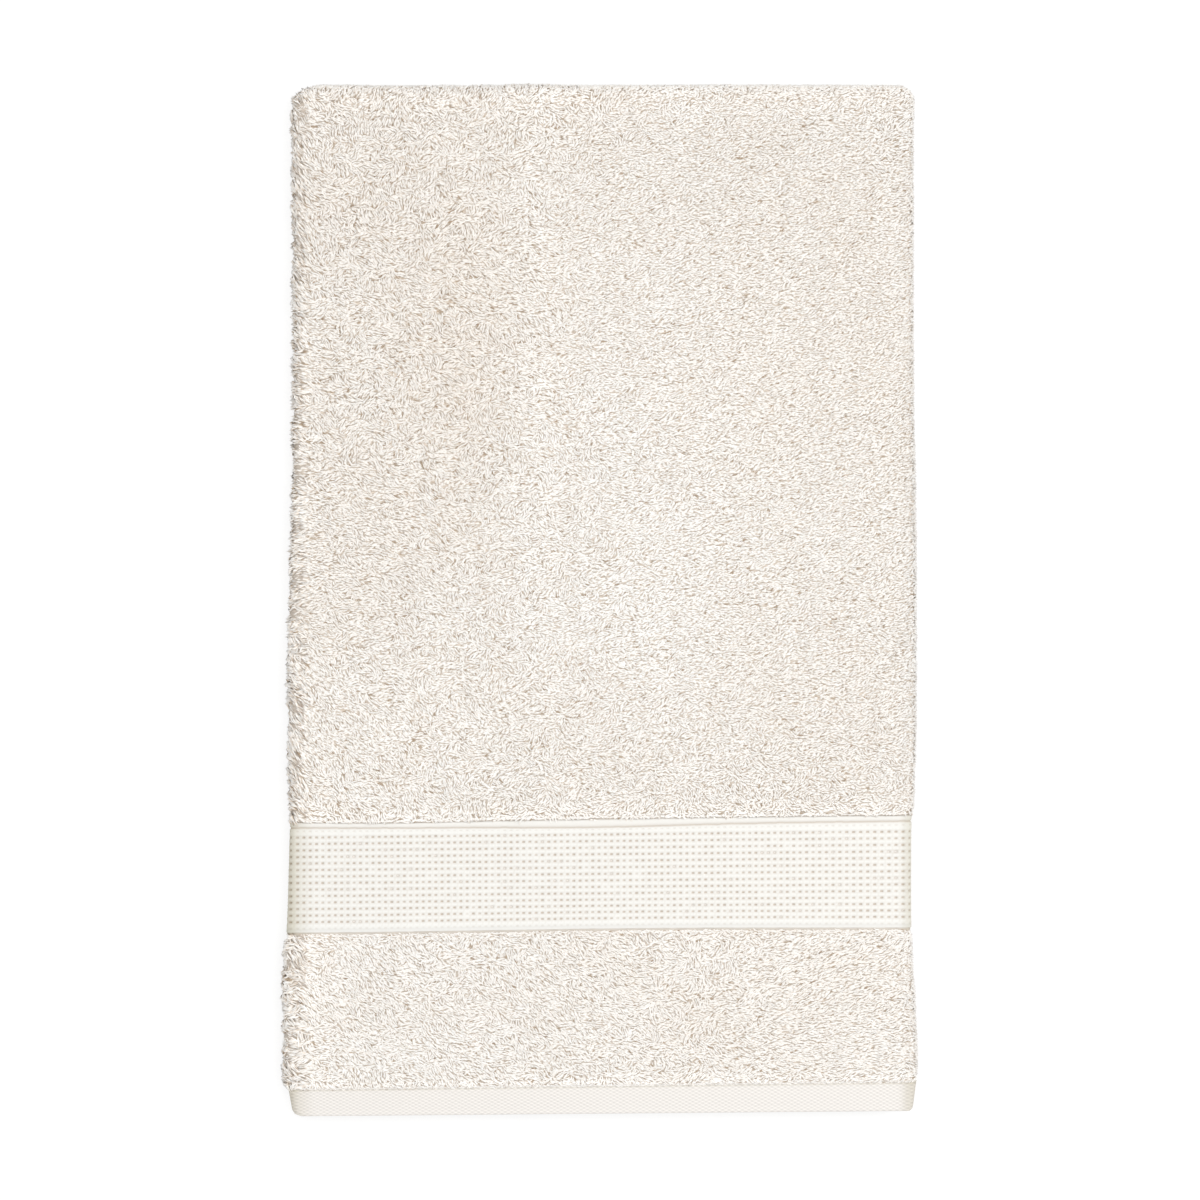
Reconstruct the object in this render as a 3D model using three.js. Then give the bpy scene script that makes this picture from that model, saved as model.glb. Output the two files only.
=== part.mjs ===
// Terry bath towel, folded for display and lying flat. Both long edges are turned to the back and meet
// off the middle, then the towel is folded in half across, so four layers lie over each other.
// Millimetres. X runs across, Y from the two hems to the crosswise fold, Z up from the surface it lies on.

import * as THREE from 'three';

const { lerp, smoothstep } = THREE.MathUtils;

// The cloth
const OPEN_WIDTH = 686; // from selvedge to selvedge, before folding
const TERRY = 4.6; // thickness with the loops of both faces
const STRIP = 4.9; // the fluffier terry between border and hem
const BORDER = 1.8; // flat dobby weave
const HEM = 3.0; // three turns of flat cloth
const SELVEDGE = 1.6; // woven edge without loops
const SELVEDGE_WIDTH = 8;
const CLOTH_COLOUR = 0xf2e9e0;

// The fold
const FOLDED_WIDTH = OPEN_WIDTH / 2;
const FOLDED_LENGTH = 561; // from the edge of the upper hem to the crosswise fold
const LAYER_GAP = 0.8; // between the outer layer and the flap under it
const HALVES_GAP = 0.8; // between the upper and the lower half
const SELVEDGES_AT = -39; // where the two long edges meet, from the middle
const SELVEDGES_GAP = 6;
const CORNER_RADIUS = 7; // of the far corners, seen from above

// Heights of the middle of each layer over the plane between the two halves
const FLAP_MIDDLE = (HALVES_GAP + TERRY) / 2;
const OUTER_MIDDLE = FLAP_MIDDLE + TERRY + LAYER_GAP;
const HALF_HEIGHT = OUTER_MIDDLE + TERRY / 2;
const TURN_AT = FOLDED_LENGTH - HALF_HEIGHT; // where the crosswise fold starts to turn

// How fine the faces are
const SIDE_FOLD_STEPS = 5;
const CROSS_FOLD_STEPS = 8;
const OUTER_STEPS = [0.08, 0.17, 0.25, 0.31, 0.35, 0.38, 0.41, 0.45, 0.52, 0.62, 0.73, 0.84, 0.93];
const FLAP_STEPS = [0.5];

// The upper half, row by row from its hem to the crosswise fold.
// at: from the edge of the hem. left, right: the outline on each side of the middle.
// skew: how much further the right side lies than the left. thick: the cloth there.
// sink, flapSink: how far the outer layer and the flap lie below their places in plain terry.
const UPPER_ROWS = [
  { at: 0.0, left: 164.5, right: 167.6, skew: 3.0, thick: 1.2, sink: 3.0, flapSink: 2.2 },
  { at: 1.2, left: 167.2, right: 168.8, skew: 3.1, thick: 2.6, sink: 2.8, flapSink: 2.2 },
  { at: 3.5, left: 168.6, right: 169.3, skew: 3.2, thick: HEM, sink: 2.6, flapSink: 2.0 },
  { at: 14.0, left: 170.3, right: 170.6, skew: 4.2, thick: HEM, sink: 1.6, flapSink: 1.3 },
  { at: 15.4, left: 170.6, right: 170.8, skew: 4.4, thick: 2.2, sink: 1.2, flapSink: 0.9 },
  { at: 16.6, left: 172.4, right: 171.2, skew: 4.4, thick: 4.2, sink: 0.1, flapSink: 0 },
  { at: 20.6, left: 174.2, right: 171.6, skew: 4.2, thick: STRIP, sink: -0.15, flapSink: 0 },
  { at: 30.0, left: 174.6, right: 172.3, skew: 4.0, thick: STRIP, sink: -0.15, flapSink: 0 },
  { at: 61.5, left: 174.3, right: 170.7, skew: 3.4, thick: STRIP, sink: -0.15, flapSink: 0 },
  { at: 91.0, left: 174.1, right: 169.1, skew: 2.9, thick: STRIP, sink: -0.15, flapSink: 0 },
  { at: 98.0, left: 172.6, right: 168.6, skew: 2.7, thick: 4.2, sink: 0.2, flapSink: 0 },
  { at: 99.4, left: 171.5, right: 168.0, skew: 2.7, thick: BORDER, sink: 0.9, flapSink: 0.5 },
  { at: 114.0, left: 171.0, right: 168.0, skew: 2.9, thick: BORDER, sink: 1.3, flapSink: 1.2 },
  { at: 146.0, left: 170.1, right: 168.0, skew: 3.3, thick: BORDER, sink: 1.3, flapSink: 1.2 },
  { at: 161.0, left: 169.5, right: 168.2, skew: 3.6, thick: BORDER, sink: 0.9, flapSink: 0.5 },
  { at: 162.2, left: 169.9, right: 169.0, skew: 3.6, thick: 4.0, sink: 0.1, flapSink: 0 },
  { at: 166.5, left: 170.5, right: 170.2, skew: 3.4, thick: TERRY, sink: 0, flapSink: 0 },
  { at: 208.7, left: 171.5, right: 171.5, skew: 2.6, thick: TERRY, sink: 0, flapSink: 0 },
  { at: 279.6, left: 171.5, right: 171.5, skew: 1.8, thick: TERRY, sink: 0, flapSink: 0 },
  { at: 334.1, left: 169.5, right: 171.3, skew: 1.2, thick: TERRY, sink: 0, flapSink: 0 },
  { at: 388.7, left: 169.0, right: 170.1, skew: 0.8, thick: TERRY, sink: 0, flapSink: 0 },
  { at: 430.0, left: 168.8, right: 170.0, skew: 0.6, thick: TERRY, sink: 0, flapSink: 0 },
  { at: 470.5, left: 169.0, right: 170.0, skew: 0.4, thick: TERRY, sink: 0, flapSink: 0 },
  { at: 520.0, left: 169.1, right: 169.9, skew: 0.1, thick: TERRY, sink: 0, flapSink: 0 },
  { at: TURN_AT, left: 169.6, right: 169.0, skew: 0, thick: TERRY, sink: 0, flapSink: 0 },
];

// The lower half, row by row from the crosswise fold to its hem, which lies a little short of the upper one.
// Here sink and flapSink are downwards too, towards the surface that the towel lies on.
const LOWER_ROWS = [
  { at: TURN_AT, left: 168.6, right: 168.4, skew: 0, thick: TERRY, sink: 0, flapSink: 0 },
  { at: 470.0, left: 168.0, right: 168.8, skew: 0.4, thick: TERRY, sink: 0, flapSink: 0 },
  { at: 360.0, left: 167.6, right: 169.2, skew: 1.0, thick: TERRY, sink: 0, flapSink: 0 },
  { at: 250.0, left: 169.2, right: 169.6, skew: 1.8, thick: TERRY, sink: 0, flapSink: 0 },
  { at: 168.0, left: 168.9, right: 168.6, skew: 3.0, thick: TERRY, sink: 0, flapSink: 0 },
  { at: 164.6, left: 168.5, right: 167.8, skew: 3.0, thick: 4.0, sink: 0.2, flapSink: 0.2 },
  { at: 163.4, left: 168.1, right: 167.0, skew: 3.0, thick: BORDER, sink: 0.9, flapSink: 0.9 },
  { at: 148.0, left: 168.0, right: 166.6, skew: 2.9, thick: BORDER, sink: 1.2, flapSink: 1.2 },
  { at: 116.0, left: 168.4, right: 166.6, skew: 2.8, thick: BORDER, sink: 1.2, flapSink: 1.2 },
  { at: 102.0, left: 168.9, right: 166.8, skew: 2.7, thick: BORDER, sink: 0.9, flapSink: 0.9 },
  { at: 100.8, left: 169.6, right: 167.4, skew: 2.7, thick: 4.0, sink: 0.2, flapSink: 0.2 },
  { at: 94.0, left: 170.8, right: 168.2, skew: 2.8, thick: TERRY, sink: 0, flapSink: 0 },
  { at: 58.0, left: 171.2, right: 169.0, skew: 3.2, thick: TERRY, sink: 0, flapSink: 0 },
  { at: 26.0, left: 170.6, right: 169.6, skew: 3.8, thick: TERRY, sink: 0, flapSink: 0 },
  { at: 21.6, left: 169.8, right: 169.2, skew: 3.9, thick: 4.2, sink: 0.2, flapSink: 0.3 },
  { at: 20.2, left: 168.6, right: 168.6, skew: 3.9, thick: 2.2, sink: 0.9, flapSink: 1.0 },
  { at: 18.6, left: 168.2, right: 168.4, skew: 3.8, thick: HEM, sink: 0.8, flapSink: 1.4 },
  { at: 7.4, left: 167.4, right: 167.6, skew: 3.2, thick: HEM, sink: 0.8, flapSink: 1.6 },
  { at: 5.6, left: 166.0, right: 166.8, skew: 3.1, thick: 2.4, sink: 1.0, flapSink: 1.6 },
  { at: 4.6, left: 164.0, right: 165.6, skew: 3.0, thick: 1.2, sink: 1.0, flapSink: 1.6 },
];

// Soft ridges of the upper face, along the towel's length.
// x: from the middle. width: to where it is down to a third. height: at its crest.
// from, to: the stretch where it has its full height.
const RIDGES = [
  { x: SELVEDGES_AT, width: 14, height: 1.3, from: 190, to: FOLDED_LENGTH },
  { x: -118, width: 22, height: 0.6, from: 60, to: 330 },
  { x: 66, width: 34, height: 0.5, from: 240, to: FOLDED_LENGTH },
];
const RIDGE_FADE = 90; // over which a ridge dies out past either end of its stretch

// How far the ridges lift the upper face at a place
function liftAt(x, y) {
  let lift = 0;
  for (const ridge of RIDGES) {
    const across = Math.exp(-(((x - ridge.x) / ridge.width) ** 2));
    const started = smoothstep(y, ridge.from - RIDGE_FADE, ridge.from);
    const ended = smoothstep(y, ridge.to, ridge.to + RIDGE_FADE);
    lift += ridge.height * across * started * (1 - ended);
  }
  return lift;
}

// Points spread between two numbers at the given shares, without the two ends
function spread(from, to, shares) {
  return shares.map((share) => lerp(from, to, share));
}

// The middle of the cloth across one row, from one selvedge round both side folds to the other.
// x: across. up: away from the plane between the halves. turn: 1 on the outer layer, -1 on a flap,
// and between them round a side fold. side: which way a fold bulges. thick: the cloth's thickness.
function clothAcross(row) {
  const radius = (row.outer - row.flap) / 2;
  const centre = (row.outer + row.flap) / 2;
  const reach = radius + row.thick / 2;
  const leftTurn = -row.left + reach;
  const rightTurn = row.right - reach;
  const leftEnd = SELVEDGES_AT - SELVEDGES_GAP / 2;
  const rightEnd = SELVEDGES_AT + SELVEDGES_GAP / 2;
  const edge = Math.min(SELVEDGE, row.thick);
  const places = [];
  const layFlap = (x, thick) => places.push({ x, up: row.flap, turn: -1, side: 0, thick });
  const layOuter = (x) => places.push({ x, up: row.outer, turn: 1, side: 0, thick: row.thick });
  const layFold = (x, bulge) => {
    for (let step = 0; step <= SIDE_FOLD_STEPS; step += 1) {
      const angle = (Math.PI * step) / SIDE_FOLD_STEPS;
      const turn = bulge * Math.cos(angle);
      const side = bulge * Math.sin(angle);
      places.push({ x: x + side * radius, up: centre + turn * radius, turn, side, thick: row.thick });
    }
  };
  layFlap(leftEnd, edge);
  layFlap(leftEnd - SELVEDGE_WIDTH, row.thick);
  spread(leftEnd - SELVEDGE_WIDTH, leftTurn, FLAP_STEPS).forEach((x) => layFlap(x, row.thick));
  layFold(leftTurn, -1);
  spread(leftTurn, rightTurn, OUTER_STEPS).forEach(layOuter);
  layFold(rightTurn, 1);
  spread(rightTurn, rightEnd + SELVEDGE_WIDTH, FLAP_STEPS).forEach((x) => layFlap(x, row.thick));
  layFlap(rightEnd + SELVEDGE_WIDTH, row.thick);
  layFlap(rightEnd, edge);
  return places;
}

// The ring of points round the cloth in one row: its outside from selvedge to selvedge, then its inside.
// stand puts a point, given across and away from the plane between the halves, in its place.
function ringOf(row, stand) {
  const places = clothAcross(row);
  const face = (sign) =>
    places.map(({ x, up, turn, side, thick }) =>
      stand(x + (sign * side * thick) / 2, up + (sign * turn * thick) / 2, turn > 0),
    );
  return { outside: face(1), inside: face(-1) };
}

// One row of the upper half
function upperRing(row) {
  const heights = { outer: OUTER_MIDDLE - row.sink, flap: FLAP_MIDDLE - row.flapSink };
  return ringOf({ ...row, ...heights }, (x, up, isOuter) => {
    const y = row.at + (row.skew * x) / FOLDED_WIDTH;
    const lift = isOuter ? liftAt(x, y) : 0;
    return new THREE.Vector3(x, y, HALF_HEIGHT + up + lift);
  });
}

// One row of the lower half
function lowerRing(row) {
  const heights = { outer: OUTER_MIDDLE + row.sink, flap: FLAP_MIDDLE + row.flapSink };
  return ringOf({ ...row, ...heights }, (x, up) => {
    const y = row.at + (row.skew * x) / FOLDED_WIDTH;
    return new THREE.Vector3(x, y, HALF_HEIGHT - up);
  });
}

// How far a rounded corner stands in from the outline, at a distance from the end of the towel
function cornerInset(distance) {
  const inside = Math.max(CORNER_RADIUS - distance, 0);
  return CORNER_RADIUS - Math.sqrt(CORNER_RADIUS ** 2 - inside ** 2);
}

// One row of the crosswise fold. share: 0 at the upper half, 1 at the lower half.
function crossFoldRing(share) {
  const angle = Math.PI * share;
  const first = UPPER_ROWS.at(-1);
  const last = LOWER_ROWS[0];
  const inset = cornerInset(HALF_HEIGHT * (1 - Math.sin(angle)));
  const row = {
    left: lerp(first.left, last.left, share) - inset,
    right: lerp(first.right, last.right, share) - inset,
    thick: TERRY,
    outer: OUTER_MIDDLE,
    flap: FLAP_MIDDLE,
  };
  return ringOf(row, (x, up, isOuter) => {
    const away = up + (isOuter ? liftAt(x, TURN_AT) * (1 - share) : 0);
    return new THREE.Vector3(x, TURN_AT + away * Math.sin(angle), HALF_HEIGHT + away * Math.cos(angle));
  });
}

// All rows of the cloth, from the upper hem over the crosswise fold to the lower hem
function allRings() {
  const rings = UPPER_ROWS.map(upperRing);
  for (let step = 1; step < CROSS_FOLD_STEPS; step += 1) {
    rings.push(crossFoldRing(step / CROSS_FOLD_STEPS));
  }
  return rings.concat(LOWER_ROWS.map(lowerRing));
}

// A closed skin over the rings, with the cut ends of the cloth filled in
function clothSkin(rings) {
  const perFace = rings[0].outside.length;
  const perRing = perFace * 2;
  const positions = [];
  for (const { outside, inside } of rings) {
    const ring = [...outside, ...inside.toReversed()];
    ring.forEach((point) => positions.push(point.x, point.y, point.z));
  }
  const indices = [];
  const addQuad = (a, b, c, d) => indices.push(a, b, c, a, c, d);
  for (let row = 0; row + 1 < rings.length; row += 1) {
    for (let place = 0; place < perRing; place += 1) {
      const next = (place + 1) % perRing;
      const here = row * perRing;
      const beyond = here + perRing;
      addQuad(here + place, here + next, beyond + next, beyond + place);
    }
  }
  const lastRing = (rings.length - 1) * perRing;
  for (let place = 0; place + 1 < perFace; place += 1) {
    const across = perRing - 1 - place;
    addQuad(place, across, across - 1, place + 1);
    addQuad(lastRing + place, lastRing + place + 1, lastRing + across - 1, lastRing + across);
  }
  const geometry = new THREE.BufferGeometry();
  geometry.setAttribute('position', new THREE.Float32BufferAttribute(positions, 3));
  geometry.setIndex(indices);
  geometry.computeVertexNormals();
  return geometry;
}

// The towel with its origin under the middle of its outline
function towelGeometry() {
  const geometry = clothSkin(allRings());
  geometry.computeBoundingBox();
  const middle = geometry.boundingBox.getCenter(new THREE.Vector3());
  geometry.translate(-middle.x, -middle.y, -geometry.boundingBox.min.z);
  return geometry;
}

const cloth = new THREE.MeshStandardMaterial({ color: CLOTH_COLOUR, roughness: 1, metalness: 0 });
const towel = new THREE.Mesh(towelGeometry(), cloth);
towel.name = 'towel';

const group = new THREE.Group();
group.add(towel);

export default group;
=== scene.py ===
import math

import bpy
import numpy as np
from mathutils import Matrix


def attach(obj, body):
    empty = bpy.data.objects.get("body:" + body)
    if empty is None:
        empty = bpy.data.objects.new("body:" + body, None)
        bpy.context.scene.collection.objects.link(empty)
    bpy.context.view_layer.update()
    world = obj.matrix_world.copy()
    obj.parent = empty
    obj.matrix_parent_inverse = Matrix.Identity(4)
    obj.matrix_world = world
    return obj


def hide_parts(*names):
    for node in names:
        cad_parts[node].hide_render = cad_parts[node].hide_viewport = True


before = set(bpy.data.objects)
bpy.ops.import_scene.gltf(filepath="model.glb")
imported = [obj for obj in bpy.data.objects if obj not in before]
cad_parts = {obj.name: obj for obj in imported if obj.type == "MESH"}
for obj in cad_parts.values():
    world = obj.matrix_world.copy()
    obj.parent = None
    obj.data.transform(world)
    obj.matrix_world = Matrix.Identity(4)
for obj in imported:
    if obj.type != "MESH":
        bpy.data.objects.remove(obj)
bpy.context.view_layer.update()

# The folded terry towel is worked out in millimetres in the cloth's own directions, then set in the frame.
# s runs along the cloth from the upper hem over the crosswise fold to the lower hem. t runs across it and
# is the distance from the middle on the outer layers. h is the height over the middle of the cloth.
MM = 0.001
SEED = 7

# The cloth
OPEN_WIDTH = 686.0
TERRY = 4.6
STRIP = 4.9
BORDER = 1.8
HEM = 3.0
SELVEDGE = 1.6
SELVEDGE_WIDTH = 8.0

# The fold
FOLDED_WIDTH = OPEN_WIDTH / 2
FOLDED_LENGTH = 561.0
LAYER_GAP = 0.8
HALVES_GAP = 0.8
SELVEDGES_AT = -39.0
SELVEDGES_GAP = 6.0
CORNER_RADIUS = 7.0      # of the corners beside the crosswise fold, along the cloth
LEFT_CORNER_INSET = 12.5 # how far they round in across it
RIGHT_CORNER_INSET = 3.5
FLAP_MIDDLE = (HALVES_GAP + TERRY) / 2
OUTER_MIDDLE = FLAP_MIDDLE + TERRY + LAYER_GAP
HALF_HEIGHT = OUTER_MIDDLE + TERRY / 2
TURN_AT = FOLDED_LENGTH - HALF_HEIGHT
TURN_END = TURN_AT + math.pi * OUTER_MIDDLE

# Where the cloth changes, along s on the upper half
HEM_LINE = 15.4
STRIP_END = 98.6
BORDER_START = 99.4
BORDER_END = 161.0
BODY_START = 161.8

# Rows of the upper half from its hem to the crosswise fold, and of the lower half back to its own hem.
# at: from the edge of the upper hem. left, right: the outline on each side of the middle.
# skew: how much further the right side lies than the left. thick: the cloth with its loops.
# sink, flap_sink: how far the outer layer and the flap lie below their places in plain terry.
COLUMNS = ("at", "left", "right", "skew", "thick", "sink", "flap_sink")
UPPER_ROWS = [
    (0.0, 164.5, 167.6, 3.0, 1.2, 3.0, 2.2),
    (1.2, 167.2, 168.8, 3.1, 2.6, 2.8, 2.2),
    (3.5, 168.6, 169.3, 3.2, HEM, 2.6, 2.0),
    (14.0, 170.3, 170.6, 4.2, HEM, 1.6, 1.3),
    (15.4, 170.6, 170.8, 4.4, 2.2, 1.2, 0.9),
    (16.6, 172.4, 171.2, 4.4, 4.2, 0.1, 0.0),
    (20.6, 174.2, 171.6, 4.2, STRIP, -0.15, 0.0),
    (30.0, 174.6, 172.3, 4.0, STRIP, -0.15, 0.0),
    (61.5, 174.3, 170.7, 3.4, STRIP, -0.15, 0.0),
    (91.0, 174.1, 169.1, 2.9, STRIP, -0.15, 0.0),
    (98.0, 172.6, 168.6, 2.7, 4.2, 0.2, 0.0),
    (99.4, 171.5, 168.0, 2.7, BORDER, 0.9, 0.5),
    (114.0, 171.0, 168.0, 2.9, BORDER, 1.3, 1.2),
    (146.0, 170.1, 168.0, 3.3, BORDER, 1.3, 1.2),
    (161.0, 169.5, 168.2, 3.6, BORDER, 0.9, 0.5),
    (162.2, 169.9, 169.0, 3.6, 4.0, 0.1, 0.0),
    (166.5, 170.5, 170.2, 3.4, TERRY, 0.0, 0.0),
    (208.7, 171.5, 171.5, 2.6, TERRY, 0.0, 0.0),
    (279.6, 171.5, 171.5, 1.8, TERRY, 0.0, 0.0),
    (334.1, 169.5, 171.3, 1.2, TERRY, 0.0, 0.0),
    (388.7, 169.0, 170.1, 0.8, TERRY, 0.0, 0.0),
    (430.0, 168.8, 170.0, 0.6, TERRY, 0.0, 0.0),
    (470.5, 169.0, 170.0, 0.4, TERRY, 0.0, 0.0),
    (520.0, 169.1, 169.9, 0.1, TERRY, 0.0, 0.0),
    (TURN_AT, 169.6, 170.2, 0.0, TERRY, 0.0, 0.0),
]
LOWER_ROWS = [
    (TURN_AT, 168.6, 168.4, 0.0, TERRY, 0.0, 0.0),
    (470.0, 168.0, 168.8, 0.4, TERRY, 0.0, 0.0),
    (360.0, 167.6, 169.2, 1.0, TERRY, 0.0, 0.0),
    (250.0, 169.2, 169.6, 1.8, TERRY, 0.0, 0.0),
    (168.0, 168.9, 168.6, 3.0, TERRY, 0.0, 0.0),
    (164.6, 168.5, 167.8, 3.0, 4.0, 0.2, 0.2),
    (163.4, 168.1, 167.0, 3.0, BORDER, 0.9, 0.9),
    (148.0, 168.0, 166.6, 2.9, BORDER, 1.2, 1.2),
    (116.0, 168.4, 166.6, 2.8, BORDER, 1.2, 1.2),
    (102.0, 168.9, 166.8, 2.7, BORDER, 0.9, 0.9),
    (100.8, 169.6, 167.4, 2.7, 4.0, 0.2, 0.2),
    (94.0, 170.8, 168.2, 2.8, TERRY, 0.0, 0.0),
    (58.0, 171.2, 169.0, 3.2, TERRY, 0.0, 0.0),
    (26.0, 170.6, 169.6, 3.8, TERRY, 0.0, 0.0),
    (21.6, 169.8, 169.2, 3.9, 4.2, 0.2, 0.3),
    (20.2, 168.6, 168.6, 3.9, 2.2, 0.9, 1.0),
    (18.6, 168.2, 168.4, 3.8, HEM, 0.8, 1.4),
    (7.4, 167.4, 167.6, 3.2, HEM, 0.8, 1.6),
    (5.6, 166.0, 166.8, 3.1, 2.4, 1.0, 1.6),
    (4.6, 164.0, 165.6, 3.0, 1.2, 1.0, 1.6),
]
# s on the lower half is this less the distance from the edge of the upper hem
LOWER_HEM_AT = TURN_END + TURN_AT
CLOTH_LENGTH = LOWER_HEM_AT - LOWER_ROWS[-1][0]

# Where the loops of the lower half end and start again beside its border and hem, from that same edge
LOWER_BORDER_END = 166.0
LOWER_STRIP_END = 98.0
LOWER_HEM_LINE = 22.0

# Soft ridges of the upper face: x from the middle, width to where it is down to a third, height at the
# crest, and the stretch with the full height
RIDGES = [
    (SELVEDGES_AT, 14.0, 1.3, 190.0, FOLDED_LENGTH),
    (-118.0, 22.0, 0.6, 60.0, 330.0),
    (66.0, 34.0, 0.5, 240.0, FOLDED_LENGTH),
]
RIDGE_FADE = 90.0

# Soft bows of the woven lines: the middle in x and s, how far each reaches, and its shift towards the fold
BOWS = [
    (30.0, 101.0, 120.0, 14.0, 1.1),
    (-115.0, 161.5, 55.0, 5.0, -1.2),
    (-10.0, 158.0, 70.0, 2.5, -1.6),
]

# The photo's view, from straight above
PHOTO_SIDE = 1200        # pixels
MM_PER_PIXEL = 0.5453
SCALE_HEIGHT = 16.0      # at which a pixel has that size
LENS_MM = 120.0
SENSOR_MM = 36.0

# The studio: light from all round, and soft lamps by name, size in metres, watts and place
ROOM_LIGHT = 0.75
LIGHTS = [
    ("overhead", 2.0, 30.0, (0.0, 0.0, 2.4)),
    ("key", 1.0, 10.5, (1.5, 0.4, 1.3)),
]
FLOOR_HALF = 3.0         # metres
FLOOR_BELOW = 0.0003
FLOOR_GREY = 0.3
FLOOR_ROUGHNESS = 0.9
FLOOR_GLOW = 0.68

# Cotton
COTTON_ROUGHNESS = 1.0
COTTON_SHINE = 0.05

# Loops: how far apart they stand, how thick the yarn is, and how many make one mesh
LOOP_PITCH_T = 0.98
LOOP_PITCH_S = 1.03
TURN_PITCH_SHARE = 0.83  # of that over the crosswise fold, where the pile spreads
YARN_WIDTH = 0.85
LOOPS_A_PIECE = 45000

# Mean lengths of the loops by place
BODY_LOOP = 3.35
STRIP_LOOP = 4.0
LOWER_LOOP = 3.0

# The strip of loops between border and hem
STRIP_LOOPS_FROM = HEM_LINE + 1.0
STRIP_LOOPS_TO = STRIP_END - 0.9

# Where the loops start and end round the side folds of each half, as shares of the half circle
UPPER_SIDES = (0.0, 0.8)
LOWER_SIDES = (0.2, 0.85)

# Loops that lie in a row along an edge of the terry: pitch, length, and spread of place and direction
LIP_PITCH = 1.0
LIP_LOOP = 3.4
LIP_SCATTER = 0.2
LIP_TURN = 0.3
LIP_FOLD_SHARE = 0.6     # how far round the side folds they go

# These rows: name, s and how much lower they are
LIPS = [
    ("terry_lip_body", BODY_START + 0.2, 0.3),
    ("terry_lip_border", STRIP_END - 0.1, 0.0),
    ("terry_roll_border", STRIP_END - 0.8, 0.0),
    ("terry_lip_hem", HEM_LINE + 0.3, 0.4),
]

# The small weave of the hem
WEAVE_ACROSS = 3.59      # its repeat
WEAVE_ALONG = 1.88
WEAVE_DEPTH = 0.25
WEAVE_BUMP = 0.5         # how strongly the depth shows
WEAVE_PAINTED_SHADE = 0.2        # painted shade: how much darker its low places are


# The shape of the folded cloth

def smooth_step(value, low, high):
    """0 before low, 1 after high, and smooth between."""
    share = np.clip((value - low) / (high - low), 0.0, 1.0)
    return share * share * (3.0 - 2.0 * share)


def cloth_table():
    """The rows of both halves as columns along s, with the heights of the two layers of each."""
    table = {name: [] for name in ("s", "left", "right", "skew", "thick", "outer", "flap")}
    for rows, upper in ((UPPER_ROWS, True), (LOWER_ROWS, False)):
        for values in rows:
            row = dict(zip(COLUMNS, values))
            down = -1.0 if upper else 1.0
            table["s"].append(row["at"] if upper else LOWER_HEM_AT - row["at"])
            table["outer"].append(OUTER_MIDDLE + down * row["sink"])
            table["flap"].append(FLAP_MIDDLE + down * row["flap_sink"])
            for name in ("left", "right", "skew", "thick"):
                table[name].append(row[name])
    return {name: np.array(values) for name, values in table.items()}


CLOTH = cloth_table()


def cloth_row(s):
    """The cloth across at s: its outline, skew and thickness, and where it turns at its side folds."""
    row = {name: np.interp(s, CLOTH["s"], CLOTH[name]) for name in CLOTH if name != "s"}
    turned = np.clip((s - TURN_AT) / OUTER_MIDDLE, 0.0, math.pi)
    row["turned"] = turned
    inside = np.clip(CORNER_RADIUS - HALF_HEIGHT * (1.0 - np.sin(turned)), 0.0, None)
    rounding = 1.0 - np.sqrt(1.0 - (inside / CORNER_RADIUS) ** 2)
    row["radius"] = (row["outer"] - row["flap"]) / 2
    row["centre"] = (row["outer"] + row["flap"]) / 2
    reach = row["radius"] + row["thick"] / 2
    row["left_turn"] = reach + LEFT_CORNER_INSET * rounding - row["left"]
    row["right_turn"] = row["right"] - reach - RIGHT_CORNER_INSET * rounding
    return row


def ridge_lift(x, y):
    """How far the soft ridges lift the upper face."""
    lift = np.zeros_like(x)
    for middle, width, height, start, end in RIDGES:
        along = smooth_step(y, start - RIDGE_FADE, start) * (1 - smooth_step(y, end, end + RIDGE_FADE))
        lift += height * np.exp(-((x - middle) / width) ** 2) * along
    return lift


def bow_shift(x, s):
    """How far the woven lines bow towards the fold."""
    shift = np.zeros_like(x)
    for cx, cs, reach_x, reach_s, most in BOWS:
        shift += most * np.exp(-((x - cx) / reach_x) ** 2 - ((s - cs) / reach_s) ** 2)
    return shift


def place(s, t, h):
    """Points of the folded cloth, in millimetres, for arrays of s, t and h."""
    row = cloth_row(s)
    past_left = row["left_turn"] - t
    past_right = t - row["right_turn"]
    past = np.maximum(np.maximum(past_left, past_right), 0.0)
    side = np.where(past_right > 0, 1.0, -1.0)
    edge = np.where(past_right > 0, row["right_turn"], row["left_turn"])
    angle = np.clip(past / row["radius"], 0.0, math.pi)
    beyond = np.maximum(past - math.pi * row["radius"], 0.0)
    from_axis = row["radius"] + h
    x = np.where(past > 0, edge + side * (from_axis * np.sin(angle) - beyond), t)
    up = row["centre"] + from_axis * np.cos(angle)
    along = np.minimum(s, TURN_AT) - np.maximum(s - TURN_END, 0.0)
    y = along + row["skew"] * x / FOLDED_WIDTH + bow_shift(x, s)
    turned = row["turned"]
    up += ridge_lift(x, y) * np.clip(np.cos(angle), 0.0, 1.0) * (1.0 - turned / math.pi)
    return np.stack([x, y + up * np.sin(turned), HALF_HEIGHT + up * np.cos(turned)], axis=-1)


def frame_shift():
    """From the cloth's millimetres to the frame: the CAD cloth's outline is centred there."""
    turning = np.linspace(TURN_AT, TURN_END, 9)
    across = np.linspace(-0.06, 1.06, 400)      # from one turn to the other and round both side folds
    s = np.repeat(np.concatenate([CLOTH["s"], turning])[:, None], len(across), axis=1)
    row = cloth_row(s)
    t = row["left_turn"] + (row["right_turn"] - row["left_turn"]) * across
    points = place(s, t, row["thick"] / 2).reshape(-1, 3)
    low, high = points.min(0), points.max(0)
    return np.array([(low[0] + high[0]) / 2, (low[1] + high[1]) / 2, 0.0])


SHIFT = frame_shift()


def to_frame(points):
    """Millimetres of the cloth's place to metres of the frame."""
    return (points - SHIFT) * MM


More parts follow.
